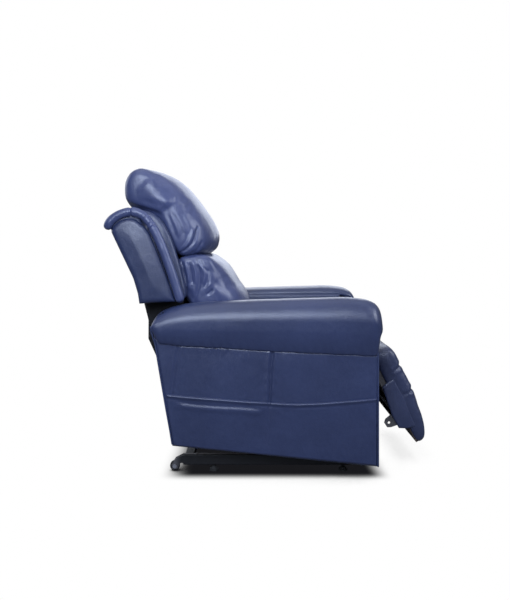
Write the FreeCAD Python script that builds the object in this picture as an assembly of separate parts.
import FreeCAD, Part
import math
import os

# Lift recliner chair: upholstered chair on a steel lifting base, at rest.
# Millimetres. +Z up, the chair faces -Y, its right-hand side is -X.
# Origin: centre of the resting outline, on the floor.
# Parts are modelled in a working frame and moved by Y_SHIFT on export.
# Points in a side view are (y, z). One-sided shapes are drawn at +X, the left.
Vec = FreeCAD.Vector
os.makedirs("parts", exist_ok=True)

# ---------------------------------------------------------------- driving sizes
Y_SHIFT = 61.92699322              # working frame to centre of the resting outline
PANEL_OUT = 405.0                  # outer face of the side panel
ARM_IN = 268.0                     # inner face of the arm
SEAT_HALF = 262.0                  # half width of the seat cushion
DECK_HALF = 238.0                  # half width of the deck and lower cushion
WING_OUT = 370.0                   # outer face of the wing
BACK_TILT = math.radians(22.5)     # back's lean from the vertical
LEG_ANGLE = math.radians(63.0)     # legrest board below the horizontal

# Pivots, (y, z)
BACK_PIVOT = (307.0, 349.0)
LEG_PIVOT = (-406.7, 471.8)
ARM_BASE = (-255.5, 109.3)         # lift arm on the base
LINK_BASE = (-300.9, 79.6)         # front link on the base
ARM_CHASSIS = (107.5, 149.9)       # lift arm on the chassis
LINK_CHASSIS = (-6.5, 100.1)       # front link on the chassis, open pivot
CRANK_PIVOT = (-120.0, 300.0)      # legrest crank on the chassis
CRANK_END = (-120.0, 200.0)        # crank to coupler link
LEG_LINK = (LEG_PIVOT[0], LEG_PIVOT[1] - 100)  # coupler link to legrest, open pivot

# Actuators: motor pivot, rod pin, and the oversize lug eye round the rod pin
LIFT_MOTOR, LIFT_ROD, LIFT_EYE = (205.0, 85.0), (-275.26, 196.27), (-272.18, 192.65)
REC_MOTOR, REC_ROD, REC_EYE = (-30.0, 318.0), (348.2, 289.59), (347.65, 291.06)
LEG_MOTOR, LEG_ROD, LEG_EYE = (110.0, 292.0), (-139.56, 257.82), (-141.61, 254.91)
REC_X, LEG_X = 90.0, -90.0         # centre planes; the lift actuator is at x = 0

# Pin radii and radial running clearance
MOTOR_PIN = 5.0
MAIN_PIN = 8.0                     # lift linkage and back
LEG_PIN = 7.0                      # legrest and its crank
LEG_LINK_PIN = 6.0
AXLE_R = 4.0
RUN = 0.05
MOTOR_PIN_HALF = 18.0              # half length of the actuator pins

# Layers of the mechanism at the left side, (x0, x1)
LIFT_ARM_X = (284, 290)
FRONT_LINK_X = (276, 282)
CHASSIS_X = (270, 275)
CRANK_X = (262, 268)
BRACKET_X = (256, 262)
COUPLER_X = (254, 260)
LEG_PLATE_X = (246, 252)


# ---------------------------------------------------------------- helpers
def flatten(shapes):
    flat = []
    for shape in shapes:
        flat.extend(shape if isinstance(shape, (list, tuple)) else [shape])
    return flat


def prism(points, x0, x1):
    """(y, z) outline extruded from x0 to x1."""
    corners = [Vec(x0, y, z) for y, z in points]
    return Part.Face(Part.makePolygon(corners + corners[:1])).extrude(Vec(x1 - x0, 0, 0))


def prism_y(points, y0, length):
    """(x, z) outline extruded rearwards from y0."""
    corners = [Vec(x, y0, z) for x, z in points]
    return Part.Face(Part.makePolygon(corners + corners[:1])).extrude(Vec(0, length, 0))


def box(x0, x1, y0, y1, z0, z1):
    return Part.makeBox(x1 - x0, y1 - y0, z1 - z0, Vec(x0, y0, z0))


def cyl(centre, radius, x0, x1):
    """Cylinder along X about a (y, z) centre."""
    return Part.makeCylinder(radius, x1 - x0, Vec(x0, *centre), Vec(1, 0, 0))


def rod(start, end, radius):
    return Part.makeCylinder(radius, (end - start).Length, start, end - start)


def mirrored(shape):
    return shape.mirror(Vec(0, 0, 0), Vec(1, 0, 0))


def both(shape):
    return [shape, mirrored(shape)]


def fuse(*shapes):
    flat = flatten(shapes)
    result = flat[0].multiFuse(flat[1:])
    # Merging coplanar faces can fail; the plain union is then kept.
    try:
        result = result.removeSplitter()
    except Exception:
        pass
    return result


def cut(body, *tools):
    return body.cut(flatten(tools))


def rounded(solid, radius, pick=lambda edge: True):
    """Fillet the picked edges, falling back to smaller radii, then to none."""
    edges = [edge for edge in solid.Edges if pick(edge)]
    for factor in (1, 0.6, 0.35):
        # Guards against radii the kernel cannot fit.
        try:
            result = solid.makeFillet(radius * factor, edges)
            if result.isValid() and result.Volume > 0:
                return result
        except Exception:
            pass
    return solid


def along_x(edge):
    if len(edge.Vertexes) != 2:
        return False
    span = edge.Vertexes[1].Point - edge.Vertexes[0].Point
    return abs(span.x) > 0.9 * span.Length and span.Length > 5


def link(start, end, start_r, end_r, width, x0, x1):
    """Flat bar between two round ends."""
    dy, dz = end[0] - start[0], end[1] - start[1]
    length = math.hypot(dy, dz)
    ny, nz = -dz / length * width / 2, dy / length * width / 2
    bar = prism([(start[0] + ny, start[1] + nz), (end[0] + ny, end[1] + nz),
                 (end[0] - ny, end[1] - nz), (start[0] - ny, start[1] - nz)], x0, x1)
    return fuse(bar, cyl(start, start_r, x0, x1), cyl(end, end_r, x0, x1))


def lug_pair(start, eye, start_r, eye_r, width, hole_r, centre_x, gap, thickness=5.0):
    """Two lugs, each starting gap away from centre_x, with a hole at the eye."""
    hole = cyl(eye, hole_r, centre_x - 30, centre_x + 30)
    outer = gap + thickness
    return [cut(link(start, eye, start_r, eye_r, width, centre_x + x0, centre_x + x1), hole)
            for x0, x1 in ((gap, outer), (-outer, -gap))]


def back_prism(points, x0, x1):
    """Prism in the back's frame: (forward, up along the back) from its pivot."""
    sin, cos = math.sin(BACK_TILT), math.cos(BACK_TILT)
    return prism([(BACK_PIVOT[0] + up * sin - forward * cos,
                   BACK_PIVOT[1] + up * cos + forward * sin) for forward, up in points],
                 x0, x1)


def back_bar(forward0, forward1, up0, up1, x0, x1):
    return back_prism([(forward0, up0), (forward1, up0), (forward1, up1), (forward0, up1)],
                      x0, x1)


def leg_point(down, outward):
    """Point in the legrest's frame: down along the board, and out of it."""
    sin, cos = math.sin(LEG_ANGLE), math.cos(LEG_ANGLE)
    return (LEG_PIVOT[0] - down * cos - outward * sin,
            LEG_PIVOT[1] - down * sin + outward * cos)


def leg_prism(points, x0, x1):
    return prism([leg_point(*point) for point in points], x0, x1)


def spring_row(count, pitch, swing, wire_r, stations):
    """Row of zigzag wires, centred on x = 0, through (y, z) stations."""
    springs = []
    for i in range(count):
        x = (i - (count - 1) / 2) * pitch
        points = [Vec(x + (swing if k % 2 else -swing), y, z)
                  for k, (y, z) in enumerate(stations)]
        wires = [rod(a, b, wire_r) for a, b in zip(points, points[1:])]
        joints = [Part.makeSphere(wire_r, point) for point in points]
        springs.append(wires[0].multiFuse(wires[1:] + joints))
    return springs


def export(name, *shapes):
    solids = [solid for shape in flatten(shapes) for solid in shape.Solids]
    part = (solids[0] if len(solids) == 1 else Part.Compound(solids)).copy()
    part.translate(Vec(0, Y_SHIFT, 0))
    part.exportStep("parts/%s.step" % name)


def export_pair(name, left):
    export(name + "_left", left)
    export(name + "_right", mirrored(left))


# ---------------------------------------------------------------- base
WHEEL_R = 18.0
WHEEL = (292.0, WHEEL_R)           # rear wheel axis
RAIL_IN, RAIL_OUT = 300, 325       # faces of the side rails
RAIL_FRONT = -345

PIVOT_PLATE = [(-330, 30), (-322, 96), (-285, 128), (-238, 128), (-225, 96), (-210, 30)]
FORK = [(240, 30), (240, 58), (262, 58), (290, 44), (303, 24), (300, 8), (284, 8), (270, 30)]
MOTOR_LUG = [(228, 50), (254, 50), (219, 92), (205, 101), (191, 85), (205, 69)]


def base_frame():
    frame = fuse(
        both(rounded(box(RAIL_IN, RAIL_OUT, RAIL_FRONT, 262, 22, 60), 4)),
        both(prism(PIVOT_PLATE, 294, RAIL_IN)),
        both(prism(FORK, 300, 304)),
        both(prism(FORK, 323, 327)),
        box(-RAIL_IN, RAIL_IN, RAIL_FRONT, RAIL_FRONT + 30, 24, 54),
        box(-RAIL_IN, RAIL_IN, 226, 256, 24, 54),
        both(prism(MOTOR_LUG, 10, 16)),
        box(-42, 42, 256, 262, 28, 50))       # block behind the rear crossbar
    return cut(frame, both(cyl(ARM_BASE, MAIN_PIN, 290, 302)),
               both(cyl(LINK_BASE, MAIN_PIN, 290, 302)),
               cyl(LIFT_MOTOR, MOTOR_PIN, -20, 20),
               both(cyl(WHEEL, AXLE_R, 298, 330)))


def glide_foot(x, y):
    return fuse(Part.makeCylinder(16, 6, Vec(x, y, 0)),
                Part.makeCone(15, 9, 8, Vec(x, y, 6)),
                Part.makeCylinder(6, 8, Vec(x, y, 14)))


def rear_wheel():
    return cut(rounded(cyl(WHEEL, WHEEL_R, 306, 321), 3),
               cyl(WHEEL, AXLE_R + RUN, 300, 330))


def base_pins():
    axle = fuse(cyl(WHEEL, AXLE_R, 298.5, 329), cyl(WHEEL, 7, 327, 330))
    # The lift arm's pin ends flush with the arm so that the front link clears it.
    arm_pin = cyl(ARM_BASE, MAIN_PIN, LIFT_ARM_X[0], 302)
    link_pin = cyl(LINK_BASE, MAIN_PIN, 275.6, 302)
    motor_pin = fuse(cyl(LIFT_MOTOR, MOTOR_PIN, -19, 19),
                     cyl(LIFT_MOTOR, 8, 16, 19), cyl(LIFT_MOTOR, 8, -19, -16))
    return both(axle) + both(arm_pin) + both(link_pin) + [motor_pin]


export("base_frame", base_frame())
export("glide_feet", [glide_foot(x, y) for x in (-312.5, 312.5) for y in (-322.0, 150.0)])
export_pair("rear_wheel", rear_wheel())
export("base_pins", base_pins())

# ---------------------------------------------------------------- lift linkage
LIFT_CRANK = 122                   # crank length from the arm's base pivot
LIFT_CRANK_ANGLE = math.radians(100)   # from +Y towards +Z


def lift_arm():
    """Two bent arms joined by a cross tube that carries the actuator lugs."""
    tube = (ARM_BASE[0] + LIFT_CRANK * math.cos(LIFT_CRANK_ANGLE),
            ARM_BASE[1] + LIFT_CRANK * math.sin(LIFT_CRANK_ANGLE))
    side = cut(fuse(link(ARM_BASE, ARM_CHASSIS, 20, 20, 30, *LIFT_ARM_X),
                    link(ARM_BASE, tube, 20, 18, 30, *LIFT_ARM_X)),
               cyl(ARM_BASE, MAIN_PIN + RUN, 280, 300),
               cyl(ARM_CHASSIS, MAIN_PIN + RUN, 280, 300))
    return fuse(both(side), cyl(tube, 12, -LIFT_ARM_X[0], LIFT_ARM_X[0]),
                lug_pair(tube, LIFT_EYE, 15, 17, 28, hole_r=10.6, centre_x=0, gap=9))


def front_link():
    return cut(link(LINK_BASE, LINK_CHASSIS, 16, 16, 24, *FRONT_LINK_X),
               cyl(LINK_BASE, MAIN_PIN + RUN, 270, 290),
               cyl(LINK_CHASSIS, 8.7, 270, 290))


export("lift_arm", lift_arm())
export("front_links", both(front_link()))


# ---------------------------------------------------------------- actuators
def export_actuator(name, motor_at, rod_at, centre_x, tube_r, tube_end, rod_start,
                    rod_r=8.0, eye_r=13.0, motor_left=True):
    """Motor, tube and rod; tube_end and rod_start are distances from the motor pivot."""
    dy, dz = rod_at[0] - motor_at[0], rod_at[1] - motor_at[1]
    length = math.hypot(dy, dz)
    axis = Vec(0, dy / length, dz / length)
    tube_start = 42

    def shaft(radius, start, size):
        origin = Vec(centre_x, motor_at[0] + axis.y * start, motor_at[1] + axis.z * start)
        return Part.makeCylinder(radius, size, origin, axis)

    tube = cut(shaft(tube_r, tube_start, tube_end - tube_start),
               shaft(rod_r + RUN, tube_start + 4, tube_end))
    collar = cut(shaft(tube_r + 3, tube_end - 12, 12), shaft(rod_r + RUN, tube_end - 16, 20))
    tube = fuse(tube, collar)

    # Gearbox and motor can, drawn with the actuator's axis along +Y, then placed.
    neck = Part.makeBox(17, 40, 20, Vec(-8.5, 0, -10))
    gearbox = Part.makeBox(tube_r + 56, 34, 2 * tube_r + 4, Vec(-tube_r - 2, 14, -tube_r - 2))
    can = Part.makeCylinder(22, 96, Vec(tube_r + 28, 46, 0), Vec(0, 1, 0))
    housing = fuse(neck, gearbox, can)
    housing.rotate(Vec(0, 0, 0), Vec(1, 0, 0), math.degrees(math.atan2(axis.z, axis.y)))
    if not motor_left:
        housing = mirrored(housing)
    housing.translate(Vec(centre_x, *motor_at))
    motor = fuse(cyl(motor_at, 12, centre_x - 8.5, centre_x + 8.5), housing)
    motor = cut(motor, cyl(motor_at, MOTOR_PIN + RUN, centre_x - 20, centre_x + 20),
                shaft(tube_r, tube_start, tube_end))

    rod_part = fuse(shaft(rod_r, rod_start, length - rod_start - 8),
                    cyl(rod_at, eye_r, centre_x - 7.5, centre_x + 7.5),
                    cyl(rod_at, MOTOR_PIN, centre_x - MOTOR_PIN_HALF,
                        centre_x + MOTOR_PIN_HALF))

    export(name + "_motor", motor)
    export(name + "_tube", tube)
    export(name + "_rod", rod_part)


export_actuator("lift", LIFT_MOTOR, LIFT_ROD, 0.0, tube_r=19, tube_end=372, rod_start=180)
export_actuator("recline", REC_MOTOR, REC_ROD, REC_X, tube_r=17, tube_end=255, rod_start=95)
export_actuator("legrest", LEG_MOTOR, LEG_ROD, LEG_X, tube_r=17, tube_end=168, rod_start=66,
                rod_r=7.0, eye_r=12.0, motor_left=False)

# ---------------------------------------------------------------- chassis
FRONT_TUBE = (-330, 397)
FRONT_TUBE_R = 10
REC_TUBE = (-72, 342)              # carries the recline motor's lugs
LEG_TUBE = (152, 250)              # carries the legrest motor's lugs

CHASSIS_SIDE = [
    (-424, 492), (-392, 492), (-386, 416), (-330, 416), (240, 398), (300, 375),
    (327, 365), (331, 340), (318, 326), (268, 300), (240, 232), (150, 210),
    (128, 135), (108, 128), (40, 92), (-8, 78), (-28, 96), (-20, 140),
    (20, 215), (-60, 258), (-250, 268), (-318, 330), (-392, 402), (-424, 440)]
FRONT_WINDOW = [(-220, 300), (-170, 292), (-170, 380), (-300, 385), (-300, 350)]
REAR_WINDOW = [(-50, 290), (120, 290), (120, 365), (-50, 372)]


def chassis_frame():
    holes = [cyl(centre, radius, 260, 280) for centre, radius in (
        (BACK_PIVOT, MAIN_PIN), (LEG_PIVOT, LEG_PIN), (ARM_CHASSIS, MAIN_PIN),
        (LINK_CHASSIS, MAIN_PIN), (CRANK_PIVOT, LEG_PIN))]
    side = cut(prism(CHASSIS_SIDE, *CHASSIS_X), holes,
               prism(FRONT_WINDOW, 260, 280), prism(REAR_WINDOW, 260, 280))
    half = CHASSIS_X[0]
    return fuse(both(side), cyl(FRONT_TUBE, FRONT_TUBE_R, -half, half),
                cyl(REC_TUBE, 11, -half, half), cyl(LEG_TUBE, 12, -half, half),
                lug_pair(REC_TUBE, REC_MOTOR, 11, 11, 22, MOTOR_PIN, REC_X, gap=10.0),
                lug_pair(LEG_TUBE, LEG_MOTOR, 11, 11, 22, MOTOR_PIN, LEG_X, gap=10.0))


def chassis_pins():
    inner, outer = CHASSIS_X
    pins = [cyl(ARM_CHASSIS, MAIN_PIN, inner, 292), cyl(LINK_CHASSIS, MAIN_PIN, inner, 283),
            cyl(CRANK_PIVOT, LEG_PIN, 261.5, outer), cyl(LEG_PIVOT, LEG_PIN, 245.5, outer),
            cyl(BACK_PIVOT, MAIN_PIN, 255.5, outer)]
    motor_pins = [cyl(centre, MOTOR_PIN, x - MOTOR_PIN_HALF, x + MOTOR_PIN_HALF)
                  for centre, x in ((REC_MOTOR, REC_X), (LEG_MOTOR, LEG_X))]
    return pins + [mirrored(pin) for pin in pins] + motor_pins


export("chassis_frame", chassis_frame())
export("chassis_pins", chassis_pins())

# ---------------------------------------------------------------- seat
SEAT_FRONT, SEAT_REAR = -366, 205  # ends of the seat frame and deck
SEAT_RAIL_X = (214, 240)
CROSS_DEPTH = 22                   # seat crossbars, front to rear
SPRING_STEPS = 14                  # wire lengths along each seat spring
CUSHION_SPLIT = 492                # the cushion is wider above this height

CUSHION_LOW = [(-438, 448), (-446, CUSHION_SPLIT), (198, CUSHION_SPLIT), (198, 421),
               (-405, 421), (-425, 432)]
CUSHION_TOP = [(-446, CUSHION_SPLIT), (-450, 505), (-442, 519), (-415, 525), (-200, 521),
               (40, 516), (120, 512), (198, 505), (198, CUSHION_SPLIT)]


def seat_frame():
    half = SEAT_RAIL_X[0]
    frame = fuse(both(box(*SEAT_RAIL_X, SEAT_FRONT, SEAT_REAR, 372, 412)),
                 box(-half, half, SEAT_FRONT, SEAT_FRONT + CROSS_DEPTH, 378, 408.5),
                 box(-half, half, SEAT_REAR - CROSS_DEPTH, SEAT_REAR, 378, 408.5))
    return cut(frame, cyl(FRONT_TUBE, FRONT_TUBE_R, -280, 280))


def seat_cushion():
    # The upper part overhangs the legrest hinge plates on both sides.
    cushion = fuse(prism(CUSHION_LOW, -DECK_HALF, DECK_HALF),
                   prism(CUSHION_TOP, -SEAT_HALF, SEAT_HALF))
    return rounded(cushion, 10, lambda edge: along_x(edge) and edge.CenterOfMass.z > 495)


export("seat_frame", seat_frame())
export("seat_springs", spring_row(
    count=7, pitch=55, swing=14, wire_r=1.8,
    stations=[(-354 + k * (548.0 / SPRING_STEPS), 410.4) for k in range(SPRING_STEPS + 1)]))
export("seat_deck", box(-DECK_HALF, DECK_HALF, SEAT_FRONT, SEAT_REAR, 412.5, 420))
export("seat_cushion", seat_cushion())

# ---------------------------------------------------------------- arms
# Side-view outlines, (y, z)
ROLL_TOP = [
    (-458.6, 515.9), (-454.9, 580.9), (-433.3, 613.4), (-397.2, 627.8), (-343, 633.9),
    (-303.3, 635), (-162.5, 631.4), (-18.1, 626.7), (115.5, 621.7), (180.5, 618.8),
    (252.7, 610.5), (306.9, 595.3), (343, 577.3), (361.1, 559.2), (368.3, 530.3)]
# Seam between the roll and the outer panel, rear to front
ROLL_SEAM = [(340, 472.0), (306.6, 470.6), (279.8, 466), (123.3, 456.5), (-62.4, 444.1),
             (-264.3, 435.3), (-429.9, 426.9), (-447, 426)]
OUTER_PANEL_LOW = [(-437, 37), (292.5, 111), (316.4, 243.6), (340, 384), (350, 466)]
POCKET = [(-430, 46), (284, 117), (308, 262), (311.9, 300.4), (193.8, 290.8),
          (-49.3, 273.2), (-148, 268.3), (-299.5, 276.8), (-429.9, 287.3)]
INNER_PANEL = [(-380, 424), (-380, 591), (282, 591), (290, 560), (262, 424)]
REAR_PANEL = [(287, 118), (296, 118), (354, 466), (362, 498), (366, 528), (350, 556),
              (330, 556), (328, 500), (310, 300)]
FRAME_INNER = [(-430, 260), (-430, 588), (285, 588), (318, 545), (300, 300), (278, 260)]
FRAME_WINDOW = [(-380, 470), (-380, 545), (-40, 545), (-40, 470)]
FRAME_REAR = [(262, 150), (284, 150), (322, 520), (322, 540), (300, 540)]
FRAME_TOP = [(-409, 572), (-409, 588), (285, 588), (300, 540), (312, 530), (312, 512),
             (284, 572)]
# Space kept for the roll's front lip
ROLL_LIP = [(-470, 424.5), (-430, 424.5), (-430, 640), (-470, 640)]
# Front-view outlines, (x, z)
ROLL_SECTION = [(276, 592), (279, 612), (300, 628), (345, 636), (385, 629), (408, 610),
                (421, 582), (425, 552), (421, 512), (412, 470), (407, 425), (394, 425),
                (394, 592)]
FRONT_PANEL = [(277, 62), (277, 560), (288, 590), (392, 590), (404, 560), (404, 38),
               (330, 38)]
BOLTS = [(-352, 392), (-200, 400), (100, 388), (222, 360), (222, 268), (-20, 275)]


def arm_frame():
    sheet_x, rail_out = (282, 292), 391
    inner = cut(prism(FRAME_INNER, *sheet_x), prism(FRAME_WINDOW, 280, 294))
    return fuse(inner, box(sheet_x[1], rail_out, -431, -409, 62, 588),
                prism(FRAME_REAR, sheet_x[1], rail_out),
                prism(FRAME_TOP, sheet_x[1], rail_out),
                box(345, rail_out, -409, 268, 152, 178))


def arm_roll():
    """Front-view section trimmed to the side-view outline."""
    outline = ROLL_TOP + [(362, 500)] + ROLL_SEAM + [(-458.6, 440)]
    return prism_y(ROLL_SECTION, -470, 860).common(prism(outline, 260, 440))


def frame_bolt(centre):
    return fuse(cyl(centre, 5, 275, 282), cyl(centre, 11, 275, 277))


roll = arm_roll()
frame = arm_frame()
outer_panel = prism(OUTER_PANEL_LOW + ROLL_SEAM[1:-1] + [(-445, 426)], 393, PANEL_OUT)
front_panel = cut(prism_y(FRONT_PANEL, -447, 13), prism(ROLL_LIP, 393, 440))
front_panel = cut(front_panel, roll, outer_panel)
outer_panel = cut(outer_panel, roll, front_panel)

export_pair("arm_roll", roll)
export_pair("outer_panel", outer_panel)
export_pair("arm_front_panel", front_panel)
export("arm_frames", both(frame))
export("inner_panels", both(rounded(prism(INNER_PANEL, ARM_IN, 280), 4, along_x)))
export("side_pocket", mirrored(prism(POCKET, PANEL_OUT + 0.5, PANEL_OUT + 8.5)))
export("arm_rear_panels", both(cut(prism(REAR_PANEL, 294, 391.5), frame, roll)))
export("frame_bolts", [bolt for centre in BOLTS for bolt in both(frame_bolt(centre))])

# ---------------------------------------------------------------- electrics
CABLE_R = 3
# Cable path from the power box towards the rear
CABLE = [Vec(20, -189.8, 368), Vec(20, -150, 368), Vec(20, -60, 366), Vec(20, 178, 366)]


def power_cable():
    return fuse([rod(a, b, CABLE_R) for a, b in zip(CABLE, CABLE[1:])],
                [Part.makeSphere(CABLE_R, bend) for bend in CABLE[1:-1]])


export("power_box", rounded(box(-60, 60, -262, -190, 350, 386), 5))
export("power_cable", power_cable())

# ---------------------------------------------------------------- backrest
# Outlines in the back's frame, (forward, up)
BACK_POST = [(-12, 24), (20, 24), (62, 236), (62, 585), (34, 585), (34, 236)]
BACK_LOW_RAIL = [(-8, 26), (14, 26), (24, 60), (2, 60)]
WING_FRAME = [(44, 292), (112, 292), (112, 520), (72, 560), (44, 560)]
BRACKET = [(-18, 0), (19, 0), (24, 60), (58, 215), (20, 215), (-12, 60)]
BACK_CORE = [(66, 236), (160, 236), (160, 382), (88, 590), (66, 590)]
BACK_OUTER = [(-6, 222), (26, 282), (26, 592), (33, 592), (33, 280), (2, 222)]
BACK_LINING = [(-32, 52), (-36, 150), (-8, 216), (-4, 214), (-30, 148), (-26, 52)]
WING = [(-4, 238), (24, 286), (22, 377), (17, 472), (19, 585), (60, 618), (108, 614),
        (146, 580), (168, 511), (166, 394), (150, 250), (128, 240)]
WING_HOLLOW = [(38, 286), (116, 286), (116, 524), (78, 574), (38, 588)]
HEADREST = [
    (77.5, 644), (80, 674), (95, 706), (122, 733), (153, 750), (186, 747), (232, 719),
    (275, 674), (302, 628), (321, 581), (338, 528), (350, 485), (358, 442), (354, 409),
    (335, 372), (299, 358), (233, 374), (182, 398), (99, 598), (84, 625)]
LUMBAR = [
    (303, 342), (324.5, 294), (336, 247), (344, 201), (354, 171), (356, 120), (346, 74),
    (330, 68), (190, 130), (170, 160), (169, 368), (180, 376), (233, 356), (280, 346)]
POST_X = (226, 256)
BACK_SPRING_STEPS = 8


def back_brackets():
    """Side brackets on the pivot tube, with the recline actuator's lugs."""
    hole_r = MAIN_PIN + RUN
    half = BRACKET_X[0]
    side = cut(fuse(cyl(BACK_PIVOT, 20, *BRACKET_X), back_prism(BRACKET, *BRACKET_X)),
               cyl(BACK_PIVOT, hole_r, 250, 270))
    tube = cut(cyl(BACK_PIVOT, 12, -half, half), both(cyl(BACK_PIVOT, hole_r, 250, 257)))
    return fuse(both(side), tube,
                lug_pair(BACK_PIVOT, REC_EYE, 14, 15, 24, hole_r=7.2, centre_x=REC_X, gap=9))


def back_frame():
    half, post_out = POST_X
    frame = fuse(both(back_prism(BACK_POST, *POST_X)),
                 back_prism(BACK_LOW_RAIL, -half, half),
                 back_bar(38, 60, 300, 340, -half, half),
                 back_bar(38, 60, 545, 583, -half, half),
                 both(back_bar(40, 60, 300, 330, post_out, 330)),
                 both(back_bar(40, 60, 540, 570, post_out, 330)))
    return fuse(frame, both(back_prism(WING_FRAME, 318, 330)))


def back_spring_stations():
    sin, cos = math.sin(BACK_TILT), math.cos(BACK_TILT)
    forward = 56
    ups = [342 + k * (201.0 / BACK_SPRING_STEPS) for k in range(BACK_SPRING_STEPS + 1)]
    return [(BACK_PIVOT[0] + up * sin - forward * cos,
             BACK_PIVOT[1] + up * cos + forward * sin) for up in ups]


brackets = back_brackets()
export("back_frame", cut(back_frame(), brackets))
export("back_brackets", brackets)
export("back_springs", spring_row(count=6, pitch=60, swing=13, wire_r=1.6,
                                  stations=back_spring_stations()))
export("back_core", rounded(back_prism(BACK_CORE, -250, 250), 8, along_x))
export("back_outer_panel", back_prism(BACK_OUTER, -262, 262))
export("back_lining", back_prism(BACK_LINING, -250, 250))
export_pair("wing", cut(back_prism(WING, 265, WING_OUT), back_prism(WING_HOLLOW, 255, 331)))
export("headrest_pillow", back_prism(HEADREST, -258, 258))
export("lumbar_pillow", back_prism(LUMBAR, -SEAT_HALF, SEAT_HALF))

# ---------------------------------------------------------------- legrest
# Outlines in the legrest's frame, (down along the board, outward)
LEG_PLATE = [(-4, -13), (-4, 4), (60, -1), (352, -1), (352, -22), (110, -22), (100, -54),
             (80, -56), (60, -20)]
PLATE_TAB = [(296, -20), (306, -64), (316, -74), (336, -72), (342, -60), (348, -20)]
TAB_HOLE = (324, -58)
LEG_BOARD = [(60, 0), (438, 0), (438, 8), (60, 8)]
LEG_PAD = [
    (60, 9), (63, 62), (75, 74), (99, 80), (130, 78), (155, 74), (190, 76), (230, 76),
    (286, 72), (321, 64), (352, 64), (383, 57), (411, 49), (437, 36), (450, 23),
    (447, 14), (442, 9)]
SKIRT = [(195, -14), (200, -0.5), (371, -0.5), (355, -31.5), (304, -35)]
SKIRT_HOLLOW = [(180, -60), (180, 10), (364, 10), (349, -60)]


def legrest_crank():
    side = cut(link(CRANK_PIVOT, CRANK_END, 15, 14, 22, *CRANK_X),
               cyl(CRANK_PIVOT, LEG_PIN + RUN, 255, 272))
    return fuse(both(side), cyl(CRANK_END, MAIN_PIN, -CRANK_X[0], CRANK_X[0]),
                lug_pair(CRANK_END, LEG_EYE, 12, 16.5, 24, hole_r=11.4,
                         centre_x=LEG_X, gap=8.5))


def coupler_link():
    return cut(link(CRANK_END, LEG_LINK, 13, 13, 20, *COUPLER_X),
               cyl(CRANK_END, MAIN_PIN + RUN, 250, 265), cyl(LEG_LINK, 6.4, 250, 265))


def legrest_frame():
    plate = fuse(cyl(LEG_PIVOT, 14, *LEG_PLATE_X), leg_prism(LEG_PLATE, *LEG_PLATE_X),
                 cyl(LEG_LINK, 13, *LEG_PLATE_X), leg_prism(PLATE_TAB, *LEG_PLATE_X))
    plate = cut(plate, cyl(LEG_PIVOT, LEG_PIN + RUN, 240, 260),
                cyl(LEG_LINK, LEG_LINK_PIN, 240, 260),
                cyl(leg_point(*TAB_HOLE), 5, 240, 260))
    half = LEG_PLATE_X[0]
    tubes = [cyl(leg_point(down, -12), 8, -half, half) for down in (150, 335)]
    return fuse(both(plate), tubes)


export("legrest_crank", legrest_crank())
export("legrest_links", both(coupler_link()))
export("legrest_frame", legrest_frame())
export("legrest_pins", both(cyl(LEG_LINK, LEG_LINK_PIN, LEG_PLATE_X[0], 262)))
export("legrest_board", leg_prism(LEG_BOARD, -244, 244))
export("legrest_pad", leg_prism(LEG_PAD, -SEAT_HALF, SEAT_HALF))
export("legrest_skirt", cut(leg_prism(SKIRT, -SEAT_HALF, SEAT_HALF),
                            leg_prism(SKIRT_HOLLOW, -253.5, 253.5)))

# ---------------------------------------------------------------- handset
# Hangs in a holster on the outside of the left arm.
HAND_IN, HAND_OUT = 408.5, 421.5   # inner and outer faces
HAND_X = (HAND_IN + HAND_OUT) / 2
HAND_Y, HAND_Z = 20.0, 225.0       # centre, and bottom end
HOLSTER_IN = 405.2
CORD_BOTTOM = 110
BUTTONS = ["raise", "recline", "legs_up", "legs_down"]   # top to bottom
BUTTON_TOP, BUTTON_PITCH = 132, 20


def holster():
    y, z = HAND_Y, HAND_Z
    body = rounded(box(HOLSTER_IN, 424.8, y - 30, y + 30, z - 12, z + 52), 4,
                   lambda edge: edge.CenterOfMass.x > 424)
    return cut(body, box(407.8, 422.4, y - 26, y + 26, z - 6, z + 60),
               box(410, 430, y - 16, y + 16, z + 14, z + 60),
               Part.makeCylinder(6, 30, Vec(HAND_X, y, z - 20)))


def cord_clip():
    return fuse(Part.makeCylinder(7, 14, Vec(HAND_X, HAND_Y, CORD_BOTTOM - 14)),
                box(HOLSTER_IN, HAND_X, HAND_Y - 6, HAND_Y + 6, 98, 108))


button_centres = [(HAND_Y, HAND_Z + BUTTON_TOP - i * BUTTON_PITCH)
                  for i in range(len(BUTTONS))]
handset = rounded(box(HAND_IN, HAND_OUT, HAND_Y - 24, HAND_Y + 24, HAND_Z, HAND_Z + 150), 5)
export("handset", cut(handset, [cyl(centre, 7.3, HAND_IN + 5, HAND_OUT + 2)
                                for centre in button_centres]))
for name, centre in zip(BUTTONS, button_centres):
    button = cyl(centre, 7.25, HAND_IN + 8.5, HAND_OUT + 1.5)
    export("button_" + name,
           rounded(button, 0.8, lambda edge: edge.CenterOfMass.x > HAND_OUT))
export("handset_holster", holster(), cord_clip())
export("handset_cord",
       Part.makeCylinder(4, HAND_Z - CORD_BOTTOM, Vec(HAND_X, HAND_Y, CORD_BOTTOM)))
